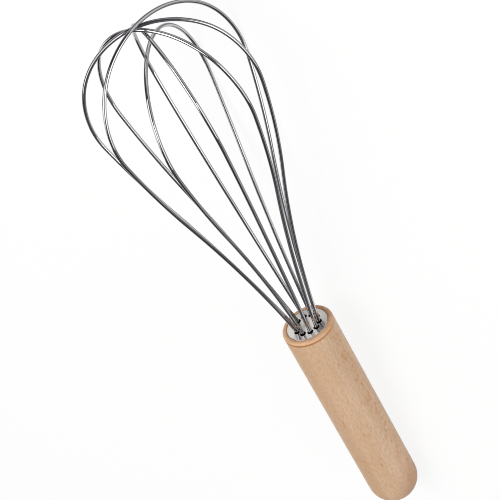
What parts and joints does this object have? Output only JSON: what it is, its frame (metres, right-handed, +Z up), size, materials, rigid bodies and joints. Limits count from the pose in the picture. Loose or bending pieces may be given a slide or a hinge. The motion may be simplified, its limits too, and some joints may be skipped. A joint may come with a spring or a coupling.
{
  "type": "balloon whisk",
  "caption": "Balloon whisk with a turned wooden handle, a drilled steel disc in its end and bright wire loops that cross at the tip.",
  "frame": {"origin": "on the table that the whisk lies on, under the middle of its bounding box", "axes": "+Z up, +X along the whisk from the butt of the handle to the tip of the loops; the whisk's own axis rises 5.5 degrees towards the tip, because it lies on its butt and on two neighbouring wires"},
  "size_m": [0.304, 0.073, 0.075],
  "materials": {
    "beech": "pale turned beech, fine lengthwise grain with short darker ray flecks, lightly oiled and matt",
    "disc_steel": "satin stainless steel, finely brushed, with a small rounded edge",
    "wire_steel": "bright polished stainless spring wire",
    "resin": "dark clear casting resin, seen only down the holes"
  },
  "bodies": {
    "root": {"handle": "beech", "holder_disc": "disc_steel", "resin_plug": "resin", "wire_loop_a": "wire_steel", "wire_loop_b": "wire_steel", "wire_loop_c": "wire_steel", "wire_loop_d": "wire_steel", "wire_loop_e": "wire_steel"}
  },
  "joints": []
}
